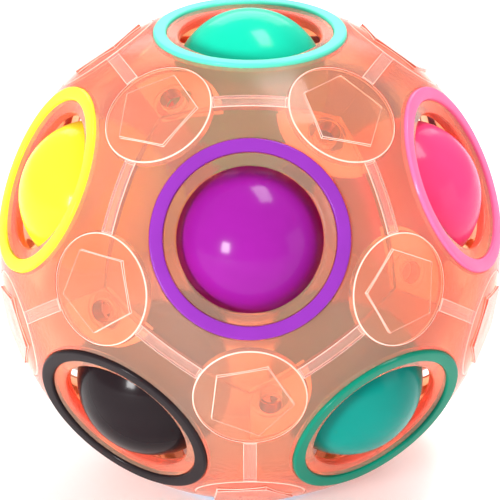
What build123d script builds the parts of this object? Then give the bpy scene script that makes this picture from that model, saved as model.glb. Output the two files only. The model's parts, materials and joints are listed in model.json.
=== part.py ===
"""Sliding colour ball puzzle: a see-through shell with twelve holes and eleven balls round a soft core."""
import os
from math import asin, atan, cos, degrees, radians, sin, sqrt

from build123d import *

# Driving dimensions, mm
SHELL_R = 35.0  # outside of the shell
SHELL_IN_R = 32.4  # inside of the shell
BASE_Z = 32.9  # sphere's centre above the table, also the ring's face above the centre
HOLE_R = 9.67  # hole that a ball shows through
LIP_R = 0.43  # rounding of the hole's lip
FUNNEL_R = 11.38  # frosted funnel's outer edge
FUNNEL_Z = 32.5  # funnel's height there
FUNNEL_LOW_Z = 32.2  # funnel's height at the lip
RING_IN_R = 11.42
RING_OUT_R = 13.22
RING_FLOOR_Z = 31.6  # groove's floor
GROOVE_OUT_R = 13.27
RING_EDGE = 0.25  # bevel on the ring's edges
BALL_R = 10.6
BALL_D = 24.8  # from the sphere's centre to a seated ball's centre
CORE_R = 13.9
CAP_R = 7.65
CAP_RECESS_R = 7.7
CAP_FLOOR_Z = 33.2  # recess floor under a corner cap
PENTAGON_R = 5.9  # to a corner of the raised pentagon
PENTAGON_Z = 34.95  # flat top of the raised pentagon
PEG_R = 1.5
PEG_HOLE_R = 1.55
PEG_END_Z = 30.3
PEG_OFFSET = 3.1  # from the corner's axis, towards the panel that holds the peg
COLLAR_R = 2.6
COLLAR_SEAT_R = 2.65
TAB_R = 8.0  # collar's tab under its panel's corner
TAB_TOP_R = 32.38  # sphere that the tab's upper face follows
TAB_LOW_R = 31.7
COLLAR_TOP_Z = 32.4
COLLAR_END_Z = 29.7
COLLAR_FLOOR_Z = 30.1
STRIP_HALF = 0.9  # half of a seam strip's width
STRIP_GAP = 0.02
STRIP_FLOOR_R = 34.2

HALF_ANGLE = degrees(atan(2.0)) / 2.0  # between a face's axis and an edge of its pentagon
RISE = 90.0 - degrees(atan(2.0))  # latitude of the ten sloping faces
CORNER_ANGLE = degrees(asin(sqrt(2.0 / 3.0 * (1.0 - 1.0 / sqrt(5.0)))))  # face's axis to a corner
EDGE_ANGLE = degrees(asin(1.0 / (sqrt(3.0) * (1.0 + sqrt(5.0)) / 2.0)))  # middle of an edge to its corner
UP = Vector(0, 0, 1)
CENTRE = Vector(0, 0, BASE_Z)

FACES = {
    "top": (0.0, 90.0),
    "front": (-90.0, RISE),
    "right": (-18.0, RISE),
    "back_right": (54.0, RISE),
    "back_left": (126.0, RISE),
    "left": (198.0, RISE),
    "low_front_right": (-54.0, -RISE),
    "low_right": (18.0, -RISE),
    "low_back": (90.0, -RISE),
    "low_left": (162.0, -RISE),
    "low_front_left": (234.0, -RISE),
    "bottom": (0.0, -90.0),
}
# Turn of a cap's pentagon from the upward direction, in degrees, for the first ten caps;
# each of the others is its opposite cap's mirror image through the centre
CAP_TURNS = (45.7, 4.3, 31.0, 58.0, 22.0, 8.0, 37.0, 48.0, 63.0, 27.0)
MIRROR_TURN = 36.0
# Which of a corner's three panels holds the cap's peg, by its place in the order of FACES
PEG_OWNERS = (1, 0, 2, 2, 2, 1, 2, 1, 2, 0, 2, 0, 2, 0, 0, 0, 2, 0, 0, 1)


def direction(azimuth, latitude):
    """Unit vector at an azimuth and a latitude, in degrees."""
    a = radians(azimuth)
    b = radians(latitude)
    return Vector(cos(a) * cos(b), sin(a) * cos(b), sin(b))


AXES = {name: direction(*angles) for name, angles in FACES.items()}


def next_to(u, v):
    """True for two faces that share an edge."""
    return abs(u.dot(v) - 1.0 / sqrt(5.0)) < 0.01


def face_plane(name):
    """Plane at the sphere's centre, z along the face's axis and x towards a neighbour."""
    axis = AXES[name]
    beside = next(v for v in AXES.values() if next_to(axis, v))
    across = beside - axis * beside.dot(axis)
    return Plane(origin=(0, 0, BASE_Z), x_dir=across.normalized(), z_dir=axis)


def edges():
    """Each pair of neighbouring faces once, as two unit vectors."""
    axes = list(AXES.values())
    return [(u, v) for i, u in enumerate(axes) for v in axes[i + 1 :] if next_to(u, v)]


def corners():
    """Each corner's unit vector, with the names of the three faces that meet there."""
    names = list(FACES)
    found = []
    for i, one in enumerate(names):
        for j in range(i + 1, len(names)):
            for k in range(j + 1, len(names)):
                trio = (one, names[j], names[k])
                u, v, w = (AXES[name] for name in trio)
                if next_to(u, v) and next_to(v, w) and next_to(u, w):
                    found.append(((u + v + w).normalized(), trio))
    return found


def cap_turns(found):
    """Turn of each cap's pentagon, the later ten mirrored from the first ten."""
    turns = []
    for i, axis in enumerate(found):
        opposite = next((k for k in range(i) if found[k].dot(axis) < -0.99), None)
        turns.append(CAP_TURNS[i] if opposite is None else MIRROR_TURN - turns[opposite])
    return turns


def corner_plane(axis, origin, turn):
    """Plane with z along a corner's axis and x turned from the upward direction."""
    upward = (UP - axis * UP.dot(axis)).normalized()
    side = axis.cross(upward)
    x_dir = upward * cos(radians(turn)) + side * sin(radians(turn))
    return Plane(origin=origin, x_dir=x_dir, z_dir=axis)


def on_sphere(radius, r):
    """Height of a sphere's surface at distance r from its axis."""
    return sqrt(radius * radius - r * r)


def peg_plane(axis, owner):
    """Plane with z along a corner's axis, moved off it towards the panel that holds the peg."""
    face = AXES[owner]
    towards = (face - axis * face.dot(axis)).normalized()
    return Plane(origin=CENTRE + towards * PEG_OFFSET, x_dir=towards, z_dir=axis)


def make_recess_cutter():
    """Recess that a corner cap lies in, along +Z."""
    with BuildPart() as cutter:
        with Locations((0, 0, CAP_FLOOR_Z)):
            Cylinder(CAP_RECESS_R, 6, align=(Align.CENTER, Align.CENTER, Align.MIN))
    return cutter.part


def make_peg_cutter():
    """Peg hole and collar seat in the panel that holds a peg, along +Z."""
    with BuildPart() as cutter:
        with Locations((0, 0, 28)):
            Cylinder(PEG_HOLE_R, 10, align=(Align.CENTER, Align.CENTER, Align.MIN))
        with Locations((0, 0, COLLAR_TOP_Z)):
            Cylinder(COLLAR_SEAT_R, 4, align=(Align.CENTER, Align.CENTER, Align.MAX))
    return cutter.part


def make_peg():
    """A cap's peg, its top a little inside the cap, along +Z."""
    with BuildPart() as peg:
        with Locations((0, 0, PEG_END_Z)):
            Cylinder(PEG_R, CAP_FLOOR_Z + 0.3 - PEG_END_Z, align=(Align.CENTER, Align.CENTER, Align.MIN))
    return peg.part


def make_strip(half, floor_r, top_r, reach):
    """Seam strip along an edge, centred on +Z and running along Y."""
    with BuildPart() as strip:
        with BuildSketch(Plane.YZ):
            with BuildLine():
                low = CenterArc((0, 0), floor_r, 90 - reach, 2 * reach)
                high = CenterArc((0, 0), top_r, 90 - reach, 2 * reach)
                Line(low @ 0, high @ 0)
                Line(low @ 1, high @ 1)
            make_face()
        extrude(amount=half, both=True)
    return strip.part


def make_cap():
    """Round corner cap with a raised pentagon, along +Z."""
    rim_z = on_sphere(SHELL_R, CAP_R)
    with BuildPart() as cap:
        with BuildSketch(Plane.XZ):
            with BuildLine():
                Polyline((0, SHELL_R), (0, CAP_FLOOR_Z), (CAP_R, CAP_FLOOR_Z), (CAP_R, rim_z))
                RadiusArc((CAP_R, rim_z), (0, SHELL_R), -SHELL_R)
            make_face()
        revolve(axis=Axis.Z)
        with BuildSketch(Plane.XY.offset(CAP_FLOOR_Z + 0.5)):
            RegularPolygon(PENTAGON_R, 5)
        extrude(amount=PENTAGON_Z - CAP_FLOOR_Z - 0.5)
    return cap.part


def make_collar():
    """Blind collar that holds a corner cap's peg inside the shell, along +Z."""
    with BuildPart() as collar:
        with BuildSketch(Plane.XZ):
            with BuildLine():
                Polyline(
                    (0, COLLAR_END_Z), (COLLAR_R - 0.5, COLLAR_END_Z), (COLLAR_R, COLLAR_END_Z + 0.5),
                    (COLLAR_R, COLLAR_TOP_Z), (PEG_HOLE_R, COLLAR_TOP_Z), (PEG_HOLE_R, COLLAR_FLOOR_Z),
                    (0, COLLAR_FLOOR_Z), close=True,
                )
            make_face()
        revolve(axis=Axis.Z)
    return collar.part


def make_panel():
    """One pentagonal shell panel with its hole, funnel, lip and ring groove, along +Z."""
    reach = 24.0
    low_lip = on_sphere(SHELL_IN_R, HOLE_R)
    with BuildPart() as panel:
        with BuildSketch(Plane.XZ):
            with BuildLine():
                Polyline(
                    (reach, on_sphere(SHELL_IN_R, reach)), (reach, on_sphere(SHELL_R, reach)),
                )
                RadiusArc(
                    (reach, on_sphere(SHELL_R, reach)), (GROOVE_OUT_R, on_sphere(SHELL_R, GROOVE_OUT_R)), -SHELL_R
                )
                Polyline(
                    (GROOVE_OUT_R, on_sphere(SHELL_R, GROOVE_OUT_R)), (GROOVE_OUT_R, RING_FLOOR_Z),
                    (FUNNEL_R, RING_FLOOR_Z), (FUNNEL_R, FUNNEL_Z),
                    (HOLE_R + LIP_R, FUNNEL_LOW_Z),
                )
                RadiusArc((HOLE_R + LIP_R, FUNNEL_LOW_Z), (HOLE_R, FUNNEL_LOW_Z - LIP_R), -LIP_R)
                Line((HOLE_R, FUNNEL_LOW_Z - LIP_R), (HOLE_R, low_lip))
                RadiusArc((HOLE_R, low_lip), (reach, on_sphere(SHELL_IN_R, reach)), SHELL_IN_R)
            make_face()
        revolve(axis=Axis.Z)
        for side in range(5):
            outward = direction(72.0 * side, -HALF_ANGLE)
            inward = outward * -1.0
            split(bisect_by=Plane(origin=(0, 0, 0), z_dir=inward), keep=Keep.TOP)
        for side in range(5):
            seam = direction(72.0 * side, 90.0 - HALF_ANGLE)
            along = direction(72.0 * side + 90.0, 0.0)
            with Locations(Plane(origin=(0, 0, 0), x_dir=along.cross(seam), z_dir=seam)):
                add(SEAM_CUTTER, mode=Mode.SUBTRACT)
            corner = direction(72.0 * side + 36.0, 90.0 - CORNER_ANGLE)
            with Locations(Plane(origin=(0, 0, 0), z_dir=corner)):
                add(RECESS_CUTTER, mode=Mode.SUBTRACT)
    return panel.part


def make_ring():
    """Coloured ring that fills a panel's groove, along +Z."""
    with BuildPart() as ring:
        with BuildSketch(Plane.XZ):
            with BuildLine():
                Polyline(
                    (RING_IN_R, RING_FLOOR_Z), (RING_OUT_R, RING_FLOOR_Z),
                    (RING_OUT_R, BASE_Z - RING_EDGE), (RING_OUT_R - RING_EDGE, BASE_Z),
                    (RING_IN_R + RING_EDGE, BASE_Z), (RING_IN_R, BASE_Z - RING_EDGE), close=True,
                )
            make_face()
        revolve(axis=Axis.Z)
    return ring.part


def drill(solid, name):
    """A placed panel with the peg holes that it holds."""
    with BuildPart() as drilled:
        add(solid)
        for (axis, trio), owner in zip(CORNERS, PEG_OWNERS):
            if trio[owner] == name:
                with Locations(peg_plane(axis, name)):
                    add(PEG_CUTTER, mode=Mode.SUBTRACT)
    return drilled.part


def make_tab():
    """Tab that a collar stands on: a third of a round, its tip on the corner's axis, along +Z."""
    low = on_sphere(TAB_LOW_R, TAB_R)
    high = on_sphere(TAB_TOP_R, TAB_R)
    with BuildPart() as tab:
        with BuildSketch(Plane.XZ):
            with BuildLine():
                Polyline((TAB_R, low), (TAB_R, high))
                RadiusArc((TAB_R, high), (0, TAB_TOP_R), -TAB_TOP_R)
                Line((0, TAB_TOP_R), (0, TAB_LOW_R))
                RadiusArc((0, TAB_LOW_R), (TAB_R, low), TAB_LOW_R)
            make_face()
        revolve(axis=Axis.Z)
        for way in (-1.0, 1.0):
            normal = direction(way * 60.0 - way * 90.0, 0.0)
            split(bisect_by=Plane(origin=(0, 0, 0), z_dir=normal), keep=Keep.TOP)
        with Locations((PEG_OFFSET, 0, 28)):
            Cylinder(PEG_HOLE_R, 10, align=(Align.CENTER, Align.CENTER, Align.MIN), mode=Mode.SUBTRACT)
    return tab.part


def tab_plane(axis, owner):
    """Plane with z along a corner's axis and x towards the panel that holds the peg."""
    return Plane(origin=CENTRE, x_dir=peg_plane(axis, owner).x_dir, z_dir=axis)


def place(solid, planes):
    """Copies of a solid, one on each plane."""
    with BuildPart() as group:
        for plane in planes:
            with Locations(plane):
                add(solid)
    return group.part


def save(solid, name):
    """Label a node and write its STEP file."""
    solid.label = name
    export_step(solid, f"parts/{name}.step")


os.makedirs("parts", exist_ok=True)

SEAM_CUTTER = make_strip(STRIP_HALF + STRIP_GAP, STRIP_FLOOR_R, SHELL_R + 1.0, 16.0)
RECESS_CUTTER = make_recess_cutter()
PEG_CUTTER = make_peg_cutter()
CORNERS = corners()

panel = make_panel()
ring = make_ring()
for name in FACES:
    save(drill(place(panel, [face_plane(name)]), name), f"panel_{name}")
    save(place(ring, [face_plane(name)]), f"ring_{name}")

for name, axis in AXES.items():
    if name != "bottom":
        with BuildPart() as ball:
            with Locations(CENTRE + axis * BALL_D):
                Sphere(BALL_R)
        save(ball.part, f"ball_{name}")

with BuildPart() as core:
    with Locations(CENTRE):
        Sphere(CORE_R)
save(core.part, "core_ball")

cap_axes = [axis for axis, trio in CORNERS]
cap_planes = [corner_plane(v, CENTRE, turn) for v, turn in zip(cap_axes, cap_turns(cap_axes))]
peg_planes = [peg_plane(axis, trio[owner]) for (axis, trio), owner in zip(CORNERS, PEG_OWNERS)]
with BuildPart() as caps:
    add(place(make_cap(), cap_planes))
    add(place(make_peg(), peg_planes))
save(caps.part, "corner_caps")
tab_planes = [tab_plane(axis, trio[owner]) for (axis, trio), owner in zip(CORNERS, PEG_OWNERS)]
with BuildPart() as sockets:
    add(place(make_collar(), peg_planes))
    add(place(make_tab(), tab_planes))
save(sockets.part, "corner_sockets")

with BuildPart() as strip:
    add(make_strip(STRIP_HALF, STRIP_FLOOR_R, SHELL_R, 14.0))
    for end in (-1, 1):
        with Locations(Plane(origin=(0, 0, 0), z_dir=direction(90.0, 90.0 + end * EDGE_ANGLE))):
            Cylinder(CAP_RECESS_R + 0.02, 60, align=(Align.CENTER, Align.CENTER, Align.MIN), mode=Mode.SUBTRACT)
seam_planes = []
for u, v in edges():
    middle = (u + v).normalized()
    across = (u - v).normalized()
    seam_planes.append(Plane(origin=CENTRE, x_dir=across, z_dir=middle))
save(place(strip.part, seam_planes), "seam_strips")
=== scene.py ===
"""Sliding colour ball puzzle: see-through shell, coloured rings and balls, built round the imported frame."""

import json
import logging
from dataclasses import dataclass, field
from enum import Enum
from math import acos, atan, atan2, cos, degrees, pi, radians, sin, sqrt

import bpy
from mathutils import Matrix, Vector


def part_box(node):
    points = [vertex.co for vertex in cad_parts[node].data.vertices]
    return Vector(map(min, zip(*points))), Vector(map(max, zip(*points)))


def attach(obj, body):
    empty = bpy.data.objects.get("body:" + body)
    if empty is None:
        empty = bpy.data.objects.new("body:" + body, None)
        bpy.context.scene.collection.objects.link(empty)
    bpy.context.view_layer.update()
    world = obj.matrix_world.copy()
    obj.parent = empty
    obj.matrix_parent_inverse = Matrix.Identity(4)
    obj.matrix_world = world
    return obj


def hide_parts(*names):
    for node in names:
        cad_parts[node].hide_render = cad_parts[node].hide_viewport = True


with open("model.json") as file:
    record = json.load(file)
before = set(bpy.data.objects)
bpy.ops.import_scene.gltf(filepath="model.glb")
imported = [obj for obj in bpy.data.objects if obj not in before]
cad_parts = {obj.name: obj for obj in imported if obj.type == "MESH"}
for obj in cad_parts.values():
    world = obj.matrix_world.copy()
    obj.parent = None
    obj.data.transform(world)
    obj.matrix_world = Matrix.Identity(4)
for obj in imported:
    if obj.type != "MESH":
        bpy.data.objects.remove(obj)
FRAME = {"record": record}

LOG = logging.getLogger("puzzle")
MM = 0.001

Point = tuple[float, float]
Colour = tuple[float, float, float]


# ---------------------------------------------------------------- shader tools


class Value:
    """A number socket in a shader, on which sums are written as Python expressions."""

    def __init__(self, graph: "Graph", socket: bpy.types.NodeSocket) -> None:
        """Keeps the graph and the socket."""
        self.graph = graph
        self.socket = socket

    def _maths(self, operation: str, first: "Value | float", second: "Value | float") -> "Value":
        """Adds one Math node.

        Args:
            operation: Name of the Math node's operation.
            first: First input.
            second: Second input.

        Returns:
            The node's result.
        """
        node = self.graph.node("ShaderNodeMath", {"operation": operation}, {0: first, 1: second})
        return Value(self.graph, node.outputs[0])

    def __add__(self, other: "Value | float") -> "Value":
        """Sum."""
        return self._maths("ADD", self, other)

    __radd__ = __add__

    def __sub__(self, other: "Value | float") -> "Value":
        """Difference."""
        return self._maths("SUBTRACT", self, other)

    def __rsub__(self, other: "Value | float") -> "Value":
        """Difference from a number."""
        return self._maths("SUBTRACT", other, self)

    def __mul__(self, other: "Value | float") -> "Value":
        """Product."""
        return self._maths("MULTIPLY", self, other)

    __rmul__ = __mul__


class Graph:
    """A material's node tree, filled by one node-making method."""

    def __init__(self, name: str) -> None:
        """Starts a material with an empty tree."""
        self.material = bpy.data.materials.new(name)
        self.material.use_nodes = True
        self.tree = self.material.node_tree
        self.tree.nodes.clear()

    def node(self, kind: str, settings: dict[str, object], inputs: dict[object, object]) -> bpy.types.Node:
        """Adds one node.

        Args:
            kind: Node type.
            settings: Attributes set first; "stops" holds a ramp's (place, colour) pairs.
            inputs: Values or links of its sockets, by name or number.

        Returns:
            The new node.
        """
        made = self.tree.nodes.new(kind)
        for key, value in settings.items():
            if key == "stops":
                ramp = made.color_ramp
                for place, colour in value:
                    stop = ramp.elements.new(place)
                    stop.color = colour
                ramp.elements.remove(ramp.elements[0])
                ramp.elements.remove(ramp.elements[len(ramp.elements) - 1])
            else:
                setattr(made, key, value)
        for key, value in inputs.items():
            socket = made.inputs[key]
            if isinstance(value, Value):
                self.tree.links.new(value.socket, socket)
            elif isinstance(value, bpy.types.NodeSocket):
                self.tree.links.new(value, socket)
            else:
                socket.default_value = value
        return made

    def place(self) -> bpy.types.NodeSocket:
        """The surface point in the object's own coordinates."""
        return self.node("ShaderNodeTexCoord", {}, {}).outputs["Object"]

    def noise(self, size: float, detail: float) -> Value:
        """Even noise in the object's own space.

        Args:
            size: Width of one blotch, in metres.
            detail: Octaves.

        Returns:
            The noise from 0 to 1.
        """
        made = self.node(
            "ShaderNodeTexNoise", {}, {"Vector": self.place(), "Scale": 1.0 / size, "Detail": detail}
        )
        return Value(self, made.outputs["Fac"])

    def bump(self, height: Value, depth: float, strength: float) -> bpy.types.NodeSocket:
        """A normal shaken by a height.

        Args:
            height: Height from 0 to 1.
            depth: Real height of 1, in metres.
            strength: Share of the bump that shows.

        Returns:
            The bump's normal.
        """
        made = self.node("ShaderNodeBump", {}, {"Height": height, "Distance": depth, "Strength": strength})
        return made.outputs["Normal"]

    def blend(self, amount: Value, low: Colour, high: Colour) -> bpy.types.NodeSocket:
        """Mixes two colours.

        Args:
            amount: 0 for low, 1 for high.
            low: First colour.
            high: Second colour.

        Returns:
            The mixed colour.
        """
        made = self.node(
            "ShaderNodeMix", {"data_type": "RGBA"}, {0: amount, 6: (*low, 1.0), 7: (*high, 1.0)}
        )
        return made.outputs[2]

    def close(
        self, shader: bpy.types.NodeSocket, inside: bpy.types.NodeSocket | None = None
    ) -> bpy.types.Material:
        """Joins the shaders to the output.

        Args:
            shader: The surface's shader.
            inside: The shader of what fills it, if any.

        Returns:
            The material.
        """
        ends = {"Surface": shader}
        if inside is not None:
            ends["Volume"] = inside
        self.node("ShaderNodeOutputMaterial", {}, ends)
        return self.material


# ---------------------------------------------------------------- finishes


@dataclass(frozen=True)
class SeeThroughPlastic:
    """Coral see-through plastic with a soft, finely frosted skin; its skin and its inside also give off a painted glow
    that stands in for light scattered in the plastic.
    """

    name: str
    tint: Colour = (1.0, 0.93, 0.80)
    deep: Colour = (1.0, 0.62, 0.38)
    clear: float = 0.87
    rough: float = 0.14
    rough_spread: float = 0.12
    frost: float = 0.38
    frost_size: float = 0.0007
    dye: Colour = (1.0, 0.46, 0.10)
    dye_density: float = 340.0
    # glow and inner_glow are painted light: the skin and the plastic's inside emit light of their own, which real
    # plastic does not.
    glow: Colour = (1.0, 0.12, 0.02)
    glow_strength: float = 0.02
    inner_glow: Colour = (1.0, 0.20, 0.05)
    inner_strength: float = 17.0

    def material(self) -> bpy.types.Material:
        """Builds the material."""
        graph = Graph(self.name)
        cloud = graph.noise(0.012, 2.0)
        frost = graph.noise(self.frost_size, 3.0)
        shader = graph.node(
            "ShaderNodeBsdfPrincipled",
            {},
            {
                "Base Color": graph.blend(cloud, self.tint, self.deep),
                "Roughness": cloud * self.rough_spread + self.rough,
                "Transmission Weight": self.clear,
                "IOR": 1.2,
                # Painted glow: the skin emits a faint light of its own.
                "Emission Color": (*self.glow, 1.0),
                "Emission Strength": self.glow_strength,
                "Normal": graph.bump(frost, 0.00006, self.frost),
            },
        )
        absorb = graph.node(
            "ShaderNodeVolumeAbsorption", {}, {"Color": (*self.dye, 1.0), "Density": self.dye_density}
        )
        # Painted glow: the plastic's inside emits light, standing in for light scattered through it.
        light = graph.node(
            "ShaderNodeEmission", {}, {"Color": (*self.inner_glow, 1.0), "Strength": self.inner_strength}
        )
        inside = graph.node("ShaderNodeAddShader", {}, {0: absorb.outputs[0], 1: light.outputs[0]})
        return graph.close(shader.outputs[0], inside.outputs[0])


@dataclass(frozen=True)
class GlossyColour:
    """Smooth moulded plastic in one bright colour."""

    name: str
    colour: Colour
    rough: float = 0.22
    shine: float = 0.04
    coat: float = 0.16
    coat_rough: float = 0.12
    deepen: float = 0.8

    def material(self) -> bpy.types.Material:
        """Builds the material."""
        graph = Graph(self.name)
        cloud = graph.noise(0.006, 2.0)
        grain = graph.noise(0.0005, 2.0)
        deep = tuple(self.deepen * part for part in self.colour)
        shader = graph.node(
            "ShaderNodeBsdfPrincipled",
            {},
            {
                "Base Color": graph.blend(cloud, self.colour, deep),
                "Roughness": cloud * 0.06 + self.rough,
                "IOR": 1.5,
                "Specular IOR Level": self.shine,
                "Coat Weight": self.coat,
                "Coat Roughness": self.coat_rough,
                "Normal": graph.bump(grain, 0.00002, 0.12),
            },
        )
        return graph.close(shader.outputs[0])


@dataclass(frozen=True)
class SoftRubber:
    """Matt foamy rubber of the core."""

    name: str
    colour: Colour = (0.95, 0.50, 0.38)
    dark: Colour = (0.80, 0.36, 0.26)

    def material(self) -> bpy.types.Material:
        """Builds the material."""
        graph = Graph(self.name)
        cloud = graph.noise(0.004, 3.0)
        pores = graph.noise(0.0006, 2.0)
        shader = graph.node(
            "ShaderNodeBsdfPrincipled",
            {},
            {
                "Base Color": graph.blend(cloud, self.colour, self.dark),
                "Roughness": pores * 0.1 + 0.62,
                "Normal": graph.bump(pores, 0.00012, 0.4),
            },
        )
        return graph.close(shader.outputs[0])


# ---------------------------------------------------------------- workshop


class Bench:
    """Modelling steps shared by the pieces. All its lengths are in millimetres."""

    @staticmethod
    def clear() -> None:
        """Leaves edit mode and deselects everything."""
        if bpy.context.object and bpy.context.object.mode != "OBJECT":
            bpy.ops.object.mode_set(mode="OBJECT")
        bpy.ops.object.select_all(action="DESELECT")

    @staticmethod
    def pick(*pieces: bpy.types.Object) -> None:
        """Selects the pieces only, the last one active."""
        Bench.clear()
        for piece in pieces:
            piece.select_set(True)
        bpy.context.view_layer.objects.active = pieces[-1]

    @staticmethod
    def turned(name: str, profile: list[Point], around: int, closed: bool) -> bpy.types.Object:
        """Turns a profile round +Z by extruding a circle along it.

        Args:
            name: Name of the new object.
            profile: Points (radius, height); a radius of 0 is a pole.
            around: Number of faces round the axis.
            closed: True if the profile's end joins its start.

        Returns:
            The turned solid.
        """
        tiny = 1e-4
        points = [(max(r, tiny) * MM, z * MM) for r, z in profile]
        Bench.clear()
        r, z = points[0]
        bpy.ops.mesh.primitive_circle_add(vertices=around, radius=r, location=(0, 0, z), fill_type="NOTHING")
        piece = bpy.context.object
        piece.name = name
        bpy.ops.object.transform_apply(location=True, rotation=True, scale=True)
        bpy.ops.object.mode_set(mode="EDIT")
        bpy.ops.mesh.select_all(action="SELECT")
        for after in points[1:] + (points[:1] if closed else []):
            bpy.ops.mesh.extrude_region_move()
            scale = after[0] / r
            bpy.ops.transform.resize(value=(scale, scale, 1.0), center_override=(0.0, 0.0, z))
            bpy.ops.transform.translate(value=(0.0, 0.0, after[1] - z))
            r, z = after
        bpy.ops.mesh.select_all(action="SELECT")
        bpy.ops.mesh.remove_doubles(threshold=4.0 * tiny * MM)
        bpy.ops.mesh.normals_make_consistent(inside=False)
        bpy.ops.object.mode_set(mode="OBJECT")
        return piece

    @staticmethod
    def cut(piece: bpy.types.Object, cutter: bpy.types.Object, how: str, keep: bool = False) -> None:
        """Applies a boolean.

        Args:
            piece: Solid that is changed.
            cutter: The other solid.
            how: DIFFERENCE or UNION.
            keep: Keeps the cutter.
        """
        Bench.pick(piece)
        step = piece.modifiers.new("cut", "BOOLEAN")
        step.operation = how
        step.solver = "EXACT"
        step.object = cutter
        bpy.ops.object.modifier_apply(modifier=step.name)
        if not keep:
            bpy.data.objects.remove(cutter)

    @staticmethod
    def soften(piece: bpy.types.Object, width: float, angle: float, segments: int = 2, slot: int = -1) -> None:
        """Rounds the sharp edges with an applied Bevel.

        Args:
            piece: Solid that is changed.
            width: Bevel width in millimetres.
            angle: Edges sharper than this are rounded, in degrees.
            segments: Faces across the bevel.
            slot: Material slot of the new faces, -1 to keep that of the faces beside them.
        """
        Bench.pick(piece)
        step = piece.modifiers.new("soften", "BEVEL")
        step.width = width * MM
        step.segments = segments
        step.limit_method = "ANGLE"
        step.material = slot
        step.angle_limit = radians(angle)
        step.use_clamp_overlap = True
        bpy.ops.object.modifier_apply(modifier=step.name)

    @staticmethod
    def smooth(piece: bpy.types.Object, angle: float = 28.0) -> None:
        """Shades the piece smooth but for edges sharper than an angle in degrees."""
        Bench.pick(piece)
        bpy.ops.object.shade_smooth_by_angle(angle=radians(angle))

    @staticmethod
    def copy(piece: bpy.types.Object, name: str, place: Matrix) -> bpy.types.Object:
        """Copies a piece with its own mesh, placed in that mesh.

        Args:
            piece: The model.
            name: Name of the copy.
            place: Where the copy goes.

        Returns:
            The copy, its object at the origin.
        """
        made = piece.copy()
        made.data = piece.data.copy()
        made.name = name
        made.data.name = name
        made.data.transform(place)
        bpy.context.scene.collection.objects.link(made)
        return made

    @staticmethod
    def join(name: str, pieces: list[bpy.types.Object]) -> bpy.types.Object:
        """Joins pieces into one object."""
        Bench.pick(*pieces)
        bpy.ops.object.join()
        made = bpy.context.object
        made.name = name
        made.data.name = name
        return made


@dataclass(frozen=True)
class Ball12:
    """The puzzle's twelve-holed layout, read from the frame."""

    centre: Vector
    axes: dict[str, Vector]

    @classmethod
    def read(cls) -> "Ball12":
        """Reads the centre from the core and each hole's axis from its ring."""
        low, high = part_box("core_ball")
        centre = (Vector(low) + Vector(high)) / 2
        axes = {}
        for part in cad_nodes():
            if part.startswith("ring_"):
                low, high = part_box(part)
                axes[part[5:]] = ((Vector(low) + Vector(high)) / 2 - centre).normalized()
        order = [n for n in Hole.names() if n in axes]
        return cls(centre, {n: axes[n] for n in order})

    @staticmethod
    def beside(u: Vector, v: Vector) -> bool:
        """True for two holes that share an edge."""
        return abs(u.dot(v) - 1.0 / sqrt(5.0)) < 0.02

    def stand(self, z: Vector, x: Vector) -> Matrix:
        """Placing matrix with its origin at the centre.

        Args:
            z: Direction of the piece's +Z.
            x: Direction that its +X leans to.

        Returns:
            The matrix.
        """
        x = (x - z * x.dot(z)).normalized()
        turn = Matrix((x, z.cross(x), z)).transposed().to_4x4()
        return Matrix.Translation(self.centre) @ turn

    def hole(self, name: str) -> Matrix:
        """Place of a piece that belongs to one hole."""
        axis = self.axes[name]
        near = next(v for v in self.axes.values() if self.beside(axis, v))
        return self.stand(axis, near)

    def corners(self) -> list[tuple[Vector, tuple[str, str, str]]]:
        """Direction of each corner, with the names of the three holes round it."""
        names = list(self.axes)
        found = []
        for i, one in enumerate(names):
            for j in range(i + 1, len(names)):
                for k in range(j + 1, len(names)):
                    trio = (one, names[j], names[k])
                    u, v, w = (self.axes[name] for name in trio)
                    if self.beside(u, v) and self.beside(v, w) and self.beside(u, w):
                        found.append(((u + v + w).normalized(), trio))
        return found

    def seams(self) -> list[tuple[Vector, Vector]]:
        """Each seam's middle direction and the direction across it."""
        axes = list(self.axes.values())
        pairs = [(u, v) for i, u in enumerate(axes) for v in axes[i + 1:] if self.beside(u, v)]
        return [((u + v).normalized(), (u - v).normalized()) for u, v in pairs]


class Hole(Enum):
    """The holes by place, each with its ring's colour and its ball's."""

    TOP = ("top", (0.10, 0.70, 0.50), (0.005, 0.56, 0.36))
    FRONT = ("front", (0.22, 0.026, 0.34), (0.27, 0.009, 0.27))
    RIGHT = ("right", (0.95, 0.15, 0.34), (0.90, 0.055, 0.20))
    BACK_RIGHT = ("back_right", (0.02, 0.12, 0.66), (0.01, 0.06, 0.52))
    BACK_LEFT = ("back_left", (0.72, 0.02, 0.03), (0.62, 0.01, 0.015))
    LEFT = ("left", (0.97, 0.88, 0.04), (0.97, 0.93, 0.03))
    LOW_FRONT_RIGHT = ("low_front_right", (0.003, 0.20, 0.125), (0.0, 0.23, 0.19))
    LOW_RIGHT = ("low_right", (0.95, 0.27, 0.015), (0.92, 0.2, 0.01))
    LOW_BACK = ("low_back", (0.31, 0.70, 0.04), (0.24, 0.62, 0.02))
    LOW_LEFT = ("low_left", (0.85, 0.85, 0.82), (0.88, 0.88, 0.86))
    LOW_FRONT_LEFT = ("low_front_left", (0.018, 0.012, 0.014), (0.014, 0.008, 0.010))
    BOTTOM = ("bottom", (0.12, 0.5, 0.85), (0.12, 0.5, 0.85))

    @classmethod
    def names(cls) -> list[str]:
        """Names of the places in order."""
        return [hole.value[0] for hole in cls]


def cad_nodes() -> list[str]:
    """Names of the frame's CAD nodes."""
    return [entry["node"] for entry in FRAME["record"]["subparts"]]


def on_sphere(radius: float, r: float) -> float:
    """Height of a sphere's surface at distance r from its axis."""
    return sqrt(radius * radius - r * r)


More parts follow.
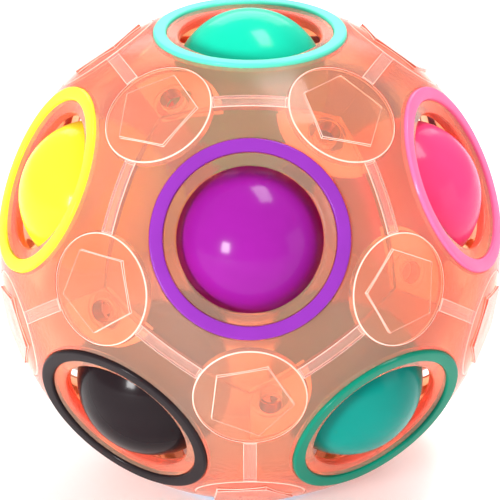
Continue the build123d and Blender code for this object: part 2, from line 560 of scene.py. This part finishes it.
def round_bend(centre: Point, radius: float, start: float, end: float, steps: int) -> list[Point]:
    """Points along an arc.

    Args:
        centre: The arc's centre.
        radius: Its radius.
        start: First angle in degrees.
        end: Last angle in degrees.
        steps: Number of spans.

    Returns:
        The points, ends included.
    """
    turns = [radians(start + (end - start) * i / steps) for i in range(steps + 1)]
    return [(centre[0] + radius * cos(t), centre[1] + radius * sin(t)) for t in turns]


def spread(radius: float, first: float, last: float, steps: int) -> list[Point]:
    """Points along a sphere's surface between two distances from its axis, ends included."""
    a = atan2(first, on_sphere(radius, first))
    b = atan2(last, on_sphere(radius, last))
    turns = [a + (b - a) * i / steps for i in range(steps + 1)]
    return [(radius * sin(t), radius * cos(t)) for t in turns]


# ---------------------------------------------------------------- pieces


@dataclass
class Shell:
    """The see-through shell: panels, corner caps with their collars, and seam strips. Millimetres."""

    layout: Ball12
    outside: float = 35.0
    inside: float = 32.4
    hole: float = 9.67
    lip: float = 0.43
    funnel: float = 11.38
    funnel_z: float = 32.5
    funnel_low: float = 32.2
    groove: float = 13.27
    groove_z: float = 31.55
    reach: float = 22.2
    around: int = 180
    cap: float = 7.65
    cap_z: float = 33.2
    pentagon: float = 5.9
    pentagon_z: float = 34.95
    peg: float = 1.5
    peg_end: float = 30.3
    peg_offset: float = 3.1
    tab: float = 8.0
    tab_low: float = 31.7
    tab_top: float = 32.38
    owners: tuple[int, ...] = (1, 0, 2, 2, 2, 1, 2, 1, 2, 0, 2, 0, 2, 0, 0, 0, 2, 0, 0, 1)
    strip: float = 0.9
    strip_floor: float = 34.2
    air: float = 0.04
    turns: tuple[float, ...] = (45.7, 4.3, 31.0, 58.0, 22.0, 8.0, 37.0, 48.0, 63.0, 27.0)
    mirror_turn: float = 36.0
    wall: SeeThroughPlastic = field(default_factory=lambda: SeeThroughPlastic("coral_wall"))
    clear: SeeThroughPlastic = field(
        default_factory=lambda: SeeThroughPlastic("coral_clear", rough=0.08, rough_spread=0.05, frost=0.08)
    )
    band: SeeThroughPlastic = field(
        default_factory=lambda: SeeThroughPlastic("coral_band", tint=(1.0, 0.93, 0.88), deep=(1.0, 0.9, 0.85))
    )

    # The collars' milky, paler plastic, with a painted glow: they emit light of their own to look paler still.
    milky_with_painted_glow: SeeThroughPlastic = field(
        default_factory=lambda: SeeThroughPlastic(
            "coral_milky_painted_glow", tint=(1.0, 0.84, 0.74), deep=(1.0, 0.78, 0.66), clear=0.35, dye_density=100.0,
            glow=(1.0, 0.58, 0.44), glow_strength=0.32,
        )
    )
    # Painted glint: a paler, less clear finish with a glow of its own on the bevelled edges stands in for the
    # highlights that catch them.
    edge: SeeThroughPlastic = field(
        default_factory=lambda: SeeThroughPlastic(
            "coral_edge_painted_glint", tint=(1.0, 0.86, 0.76), deep=(1.0, 0.80, 0.70), clear=0.3, dye_density=60.0,
            glow=(1.0, 0.55, 0.40), glow_strength=0.07,
        )
    )

    def _recess_cutter(self) -> bpy.types.Object:
        """Recess of one corner cap."""
        recess = self.cap + 0.05
        floor = self.cap_z - self.air
        return Bench.turned("recess_cutter", [(0.0, 40.0), (recess, 40.0), (recess, floor), (0.0, floor)], 96, False)

    def _peg_cutter(self) -> bpy.types.Object:
        """Peg hole and collar seat."""
        bore = self.peg + 0.06
        seat = self.inside + self.air
        profile = [(0.0, 36.0), (bore, 36.0), (bore, seat), (2.65, seat), (2.65, 28.0), (0.0, 28.0)]
        return Bench.turned("peg_cutter", profile, 48, False)

    def _strip(self, half: float, floor: float, top: float, sweep: float, steps: int) -> bpy.types.Object:
        """A band that follows the sphere along Y.

        Args:
            half: Half of its width.
            floor: Radius of its lower face.
            top: Radius of its upper face.
            sweep: Half of the angle it spans, in degrees.
            steps: Number of spans.

        Returns:
            The band, centred on +Z.
        """
        Bench.clear()
        bpy.ops.mesh.primitive_plane_add(size=1.0, location=(0, 0, 0))
        piece = bpy.context.object
        piece.data.transform(Matrix.Diagonal((2 * half * MM, (top - floor) * MM, 1.0, 1.0)))
        piece.data.transform(Matrix.Rotation(pi / 2, 4, "X"))
        piece.data.transform(Matrix.Translation((0, 0, (top + floor) / 2 * MM)))
        piece.data.transform(Matrix.Rotation(radians(sweep), 4, "X"))
        bpy.ops.object.mode_set(mode="EDIT")
        bpy.ops.mesh.select_all(action="SELECT")
        for _ in range(steps):
            bpy.ops.mesh.extrude_region_move()
            bpy.ops.transform.rotate(
                value=radians(2 * sweep / steps), orient_axis="X", center_override=(0.0, 0.0, 0.0)
            )
        bpy.ops.mesh.select_all(action="SELECT")
        bpy.ops.mesh.normals_make_consistent(inside=False)
        bpy.ops.object.mode_set(mode="OBJECT")
        return piece

    def _panel(self) -> bpy.types.Object:
        """One pentagonal panel with hole, funnel, lip and groove, its recesses cut."""
        bend = round_bend((self.hole + self.lip, self.funnel_low - self.lip), self.lip, 90.0, 180.0, 5)
        profile = (
            spread(self.outside, self.reach, self.groove + 0.1, 9)
            + [(self.groove, on_sphere(self.outside, self.groove) - 0.08), (self.groove, self.groove_z)]
            + [(self.funnel - 0.02, self.groove_z), (self.funnel - 0.02, self.funnel_z - 0.06)]
            + [(self.funnel - 0.08, self.funnel_z), (10.75, (self.funnel_z + self.funnel_low) / 2)]
            + bend
            + spread(self.inside, self.hole, self.reach, 11)
        )
        piece = Bench.turned("panel_model", profile, self.around, True)
        half = atan(2.0) / 2.0
        bpy.ops.object.mode_set(mode="EDIT")
        for side in range(5):
            bpy.ops.mesh.select_all(action="SELECT")
            a = 2 * pi * side / 5
            outward = (cos(a) * cos(half), sin(a) * cos(half), -sin(half))
            spot = tuple(-self.air / 2 * MM * c for c in outward)
            bpy.ops.mesh.bisect(plane_co=spot, plane_no=outward, use_fill=True, clear_outer=True)
        bpy.ops.object.mode_set(mode="OBJECT")
        cutters = []
        corner = self._recess_cutter()
        seam = self._strip(self.strip + 0.03, self.strip_floor - self.air, self.outside + 1.0, 16.0, 24)
        lean = acos(sqrt((5.0 + 2.0 * sqrt(5.0)) / 15.0))
        for side in range(5):
            a = 2 * pi * side / 5
            spin = Matrix.Rotation(a, 4, "Z")
            over = spin @ Matrix.Rotation(half, 4, "Y")
            cutters.append(Bench.copy(seam, "seam_cutter", over))
            tip = Matrix.Rotation(a + pi / 5, 4, "Z") @ Matrix.Rotation(lean, 4, "Y")
            cutters.append(Bench.copy(corner, "corner_cutter", tip))
        bpy.data.objects.remove(corner)
        bpy.data.objects.remove(seam)
        for cutter in cutters:
            Bench.cut(piece, cutter, "DIFFERENCE")
        Bench.smooth(piece)
        return piece

    def _cap(self) -> bpy.types.Object:
        """One corner cap with its raised pentagon."""
        rim = on_sphere(self.outside, self.cap)
        profile = (
            [(0.0, self.cap_z), (self.cap - 0.08, self.cap_z), (self.cap, self.cap_z + 0.08)]
            + [(self.cap, rim - 0.12), (self.cap - 0.03, rim - 0.05)]
            + spread(self.outside, self.cap - 0.12, 0.0, 10)
        )
        piece = Bench.turned("cap_model", profile, 120, False)
        Bench.clear()
        depth = 1.2
        bpy.ops.mesh.primitive_cylinder_add(
            vertices=5, radius=self.pentagon * MM, depth=depth * MM,
            location=(0, 0, (self.pentagon_z - depth / 2) * MM), rotation=(0, 0, -pi / 2),
        )
        block = bpy.context.object
        bpy.ops.object.transform_apply(location=True, rotation=True, scale=True)
        Bench.cut(piece, block, "UNION")
        # The cap's bevels get the painted glint.
        self._edged_with_painted_glint(piece, self.clear, 0.08, 25.0)
        Bench.smooth(piece, 20.0)
        return piece

    def _edged_with_painted_glint(self, piece: bpy.types.Object, finish: SeeThroughPlastic, width: float, angle: float) -> None:
        """Dresses a piece and rounds its edges in the paler, glowing edge finish, a painted glint along them.

        Args:
            piece: The piece.
            finish: Finish of its faces.
            width: Bevel width in millimetres.
            angle: Edges sharper than this are rounded, in degrees.
        """
        piece.data.materials.append(finish.material())
        # Second slot: the painted glint on the bevels.
        piece.data.materials.append(self.edge.material())
        Bench.soften(piece, width, angle, slot=1)

    def _collar(self) -> bpy.types.Object:
        """One blind collar that holds a cap's peg."""
        profile = [
            (0.0, 29.7), (2.0, 29.7), (2.45, 29.85), (2.6, 30.2), (2.6, 32.4), (1.75, 32.4),
            (1.56, 32.2), (1.56, 30.1), (0.0, 30.1),
        ]
        piece = Bench.turned("collar_model", profile, 64, False)
        # Milky finish with its painted glow.
        piece.data.materials.append(self.milky_with_painted_glow.material())
        Bench.smooth(piece)
        return piece

    def _tab(self) -> bpy.types.Object:
        """One collar's tab: a third of a round, its tip on the corner's axis and its middle along +X."""
        profile = (
            spread(self.tab_top, self.tab, 0.0, 7)
            + spread(self.tab_low, 0.0, self.tab, 7)
        )
        piece = Bench.turned("tab_model", profile, 96, False)
        bpy.ops.object.mode_set(mode="EDIT")
        for way in (-1, 1):
            bpy.ops.mesh.select_all(action="SELECT")
            a = radians(way * 60.0 + way * 90.0)
            bpy.ops.mesh.bisect(plane_co=(0, 0, 0), plane_no=(cos(a), sin(a), 0), use_fill=True, clear_outer=True)
        bpy.ops.object.mode_set(mode="OBJECT")
        drill = [(0.0, 40.0), (self.peg + 0.06, 40.0), (self.peg + 0.06, 28.0), (0.0, 28.0)]
        cutter = Bench.turned("tab_cutter", drill, 48, False)
        cutter.data.transform(Matrix.Translation((self.peg_offset * MM, 0, 0)))
        Bench.cut(piece, cutter, "DIFFERENCE")
        Bench.smooth(piece)
        return piece

    def _peg(self) -> bpy.types.Object:
        """One cap's peg, its foot rounded."""
        profile = [
            (0.0, self.peg_end), (self.peg - 0.2, self.peg_end), (self.peg, self.peg_end + 0.2),
            (self.peg, self.cap_z + 0.3), (0.0, self.cap_z + 0.3),
        ]
        piece = Bench.turned("peg_model", profile, 48, False)
        Bench.smooth(piece)
        return piece

    def _peg_place(self, axis: Vector, owner: str) -> Matrix:
        """Place of a peg and its collar.

        Args:
            axis: The corner's direction.
            owner: Hole of the panel that holds the peg.

        Returns:
            The placing matrix.
        """
        face = self.layout.axes[owner]
        towards = (face - axis * face.dot(axis)).normalized()
        return Matrix.Translation(towards * self.peg_offset * MM) @ self.layout.stand(axis, face)

    def _seam_strip(self) -> bpy.types.Object:
        """One seam strip, its ends cut round for the caps."""
        piece = self._strip(self.strip, self.strip_floor, self.outside, 14.0, 28)
        lean = acos(sqrt(5.0) / 3.0) / 2.0
        for way in (-1, 1):
            profile = [(0.0, 20.0), (self.cap + 0.08, 20.0), (self.cap + 0.08, 40.0), (0.0, 40.0)]
            cutter = Bench.turned("end_cutter", profile, 96, False)
            cutter.data.transform(Matrix.Rotation(way * lean, 4, "X"))
            Bench.cut(piece, cutter, "DIFFERENCE")
        # The strip's bevels get the painted glint.
        self._edged_with_painted_glint(piece, self.band, 0.08, 40.0)
        Bench.smooth(piece)
        return piece

    def _cap_turns(self, corners: list[Vector]) -> list[float]:
        """Turn of each cap's pentagon, the later ten mirrored from the first ten."""
        turns = []
        for i, axis in enumerate(corners):
            across = next((k for k in range(i) if corners[k].dot(axis) < -0.99), None)
            turns.append(self.turns[i] if across is None else self.mirror_turn - turns[across])
        return turns

    def build(self) -> list[bpy.types.Object]:
        """Builds, dresses and places the shell's pieces.

        Returns:
            The pieces.
        """
        wall = self.wall.material()
        made = []
        model = self._panel()
        drill = self._peg_cutter()
        corners = self.layout.corners()
        pegs = [(trio[owner], self._peg_place(axis, trio[owner])) for (axis, trio), owner in zip(corners, self.owners)]
        for name in Hole.names():
            piece = Bench.copy(model, f"shell_panel_{name}", self.layout.hole(name))
            for owner, spot in pegs:
                if owner == name:
                    Bench.cut(piece, Bench.copy(drill, "peg_cutter", spot), "DIFFERENCE")
            Bench.smooth(piece)
            piece.data.materials.append(wall)
            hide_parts(f"panel_{name}")
            made.append(piece)
        bpy.data.objects.remove(model)
        bpy.data.objects.remove(drill)
        axes = [axis for axis, trio in corners]
        turns = self._cap_turns(axes)
        places = []
        for axis, turn in zip(axes, turns):
            up = Vector((0, 0, 1)) - axis * axis.z
            up.normalize()
            x = up * cos(radians(turn)) + axis.cross(up) * sin(radians(turn))
            places.append(self.layout.stand(axis, x))
        seams = [self.layout.stand(mid, across) for mid, across in self.layout.seams()]
        spots = [spot for owner, spot in pegs]
        caps = []
        cap = self._cap()
        peg = self._peg()
        for place, spot in zip(places, spots):
            whole = Bench.copy(cap, "cap", place)
            Bench.cut(whole, Bench.copy(peg, "peg", spot), "UNION")
            caps.append(whole)
        bpy.data.objects.remove(cap)
        bpy.data.objects.remove(peg)
        collar = self._collar()
        tab = self._tab()
        strip = self._seam_strip()
        collars = [Bench.copy(collar, "collar", spot) for spot in spots]
        for (axis, trio), owner, whole in zip(corners, self.owners, collars):
            ledge = Bench.copy(tab, "tab", self.layout.stand(axis, self.layout.axes[trio[owner]]))
            Bench.cut(whole, ledge, "UNION")
        groups = (
            ("clear_caps", caps, "corner_caps"),
            ("peg_collars", collars, "corner_sockets"),
            ("seam_bands", [Bench.copy(strip, "strip", spot) for spot in seams], "seam_strips"),
        )
        bpy.data.objects.remove(collar)
        bpy.data.objects.remove(tab)
        bpy.data.objects.remove(strip)
        for name, copies, node in groups:
            whole = Bench.join(name, copies)
            Bench.smooth(whole, 20.0)
            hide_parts(node)
            made.append(whole)
        for piece in made:
            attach(piece, "shell")
        return made


@dataclass
class Rings:
    """Twelve coloured rings in the panels' grooves. Millimetres."""

    layout: Ball12
    inner: float = 11.42
    outer: float = 13.22
    floor: float = 31.6
    top: float = 32.9
    edge: float = 0.28
    around: int = 200

    def _ring(self) -> bpy.types.Object:
        """One ring with rounded edges."""
        profile = (
            [(self.inner, self.floor), (self.outer, self.floor)]
            + round_bend((self.outer - self.edge, self.top - self.edge), self.edge, 0.0, 90.0, 5)
            + round_bend((self.inner + self.edge, self.top - self.edge), self.edge, 90.0, 180.0, 5)
        )
        piece = Bench.turned("ring_model", profile, self.around, True)
        Bench.smooth(piece)
        return piece

    def build(self) -> list[bpy.types.Object]:
        """Builds, dresses and places the rings.

        Returns:
            The rings.
        """
        model = self._ring()
        made = []
        for hole in Hole:
            name, colour, _ = hole.value
            piece = Bench.copy(model, f"colour_ring_{name}", self.layout.hole(name))
            piece.data.materials.append(GlossyColour(f"ring_{name}", colour, rough=0.34).material())
            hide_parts(f"ring_{name}")
            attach(piece, "shell")
            made.append(piece)
        bpy.data.objects.remove(model)
        return made


@dataclass
class Balls:
    """Eleven coloured balls, each on its own body. Millimetres."""

    layout: Ball12
    radius: float = 10.6
    seat: float = 24.8
    seam_depth: float = 0.05
    around: int = 128
    rows: int = 64

    def _ball(self) -> bpy.types.Object:
        """One moulded ball with a fine parting line round its middle."""
        points = []
        for i in range(self.rows + 1):
            t = -pi / 2 + pi * i / self.rows
            r = self.radius - (self.seam_depth if i == self.rows // 2 else 0.0)
            points.append((r * cos(t), self.seat + r * sin(t)))
        piece = Bench.turned("ball_model", points, self.around, False)
        Bench.smooth(piece, 60.0)
        return piece

    def build(self) -> list[bpy.types.Object]:
        """Builds, dresses and places the balls.

        Returns:
            The balls.
        """
        model = self._ball()
        made = []
        for hole in Hole:
            name, _, colour = hole.value
            if name == "bottom":
                continue
            piece = Bench.copy(model, f"colour_ball_{name}", self.layout.hole(name))
            piece.data.materials.append(GlossyColour(f"ball_{name}", colour, rough=0.2).material())
            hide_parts(f"ball_{name}")
            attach(piece, f"ball_{name}_body")
            made.append(piece)
        bpy.data.objects.remove(model)
        return made


@dataclass
class Core:
    """The soft core that the balls press on. Millimetres."""

    layout: Ball12
    radius: float = 13.9
    around: int = 96
    rows: int = 48

    def build(self) -> list[bpy.types.Object]:
        """Builds, dresses and places the core.

        Returns:
            The core alone.
        """
        points = []
        for i in range(self.rows + 1):
            t = -pi / 2 + pi * i / self.rows
            points.append((self.radius * cos(t), self.radius * sin(t)))
        piece = Bench.turned("soft_core", points, self.around, False)
        piece.data.transform(Matrix.Translation(self.layout.centre))
        Bench.smooth(piece, 60.0)
        piece.data.materials.append(SoftRubber("soft_core").material())
        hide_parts("core_ball")
        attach(piece, "shell")
        return [piece]


# ---------------------------------------------------------------- studio


@dataclass(frozen=True)
class Lamp:
    """One soft box: its bearing and height in degrees, its distance and size in metres, its power."""

    name: str
    bearing: float
    height: float
    distance: float
    size: tuple[float, float]
    power: float
    colour: Colour = (1.0, 1.0, 1.0)


@dataclass
class Studio:
    """Pale floor, soft light and the camera."""

    layout: Ball12
    distance: float = 0.4698
    elevation: float = 24.0
    lens: float = 241.1
    sensor: float = 36.0
    shift: Point = (0.0, 0.0)
    sky: float = 0.68
    floor_glow: float = 0.15
    lamps: tuple[Lamp, ...] = (
        Lamp("key", -124.3, 12.4, 0.6, (0.12, 0.14), 3.6),
        Lamp("top", 28.0, 74.0, 0.7, (0.34, 0.20), 4.2),
        Lamp("right", -20.0, 8.0, 0.8, (0.4, 0.4), 0.9),
        Lamp("back", 90.0, 30.0, 0.8, (0.7, 0.4), 3.0),
    )

    def _aim(self, thing: bpy.types.Object, target: Vector) -> None:
        """Turns an object's -Z to a target."""
        thing.rotation_euler = (target - thing.location).to_track_quat("-Z", "Y").to_euler()

    def _camera(self) -> None:
        """Makes the camera."""
        data = bpy.data.cameras.new("camera")
        data.lens = self.lens
        data.sensor_width = self.sensor
        data.shift_x, data.shift_y = self.shift
        data.clip_start, data.clip_end = 0.01, 20.0
        camera = bpy.data.objects.new("camera", data)
        bpy.context.scene.collection.objects.link(camera)
        lift = radians(self.elevation)
        camera.location = self.layout.centre + Vector((0, -cos(lift), sin(lift))) * self.distance
        self._aim(camera, self.layout.centre)
        bpy.context.scene.camera = camera

    def _floor(self) -> None:
        """Makes the pale floor."""
        Bench.clear()
        bpy.ops.mesh.primitive_plane_add(size=8.0, location=(0, 0, -0.0002))
        floor = bpy.context.object
        floor.name = "floor"
        graph = Graph("pale_floor")
        tone = graph.noise(0.2, 2.0)
        shader = graph.node(
            "ShaderNodeBsdfPrincipled", {},
            {
                "Base Color": graph.blend(tone, (0.97, 0.97, 0.97), (0.95, 0.95, 0.95)), "Roughness": 0.9,
                "Emission Color": (1.0, 1.0, 1.0, 1.0), "Emission Strength": self.floor_glow,
            },
        )
        floor.data.materials.append(graph.close(shader.outputs[0]))

    def _light(self) -> None:
        """Makes the world's even light and the soft boxes."""
        world = bpy.data.worlds.new("studio")
        bpy.context.scene.world = world
        world.use_nodes = True
        back = world.node_tree.nodes["Background"]
        back.inputs["Color"].default_value = (1.0, 1.0, 1.0, 1.0)
        back.inputs["Strength"].default_value = self.sky
        for lamp in self.lamps:
            data = bpy.data.lights.new(lamp.name, "AREA")
            data.shape = "RECTANGLE"
            data.size, data.size_y = lamp.size
            data.energy = lamp.power
            data.color = lamp.colour
            light = bpy.data.objects.new(lamp.name, data)
            bpy.context.scene.collection.objects.link(light)
            light.location = self.layout.centre + lamp.distance * Vector(
                (
                    cos(radians(lamp.bearing)) * cos(radians(lamp.height)),
                    sin(radians(lamp.bearing)) * cos(radians(lamp.height)),
                    sin(radians(lamp.height)),
                )
            )
            self._aim(light, self.layout.centre)

    def build(self) -> None:
        """Builds the studio."""
        self._camera()
        self._floor()
        self._light()
        bpy.context.scene.view_settings.view_transform = "Standard"


def main() -> None:
    """Builds the puzzle and its studio in order."""
    logging.basicConfig(level=logging.INFO, format="%(message)s")
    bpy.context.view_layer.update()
    layout = Ball12.read()
    for assembly in (Shell(layout), Rings(layout), Balls(layout), Core(layout)):
        for piece in assembly.build():
            LOG.info("%s: %d faces", piece.name, len(piece.data.polygons))
    Studio(layout).build()


if __name__ == "__main__":
    main()
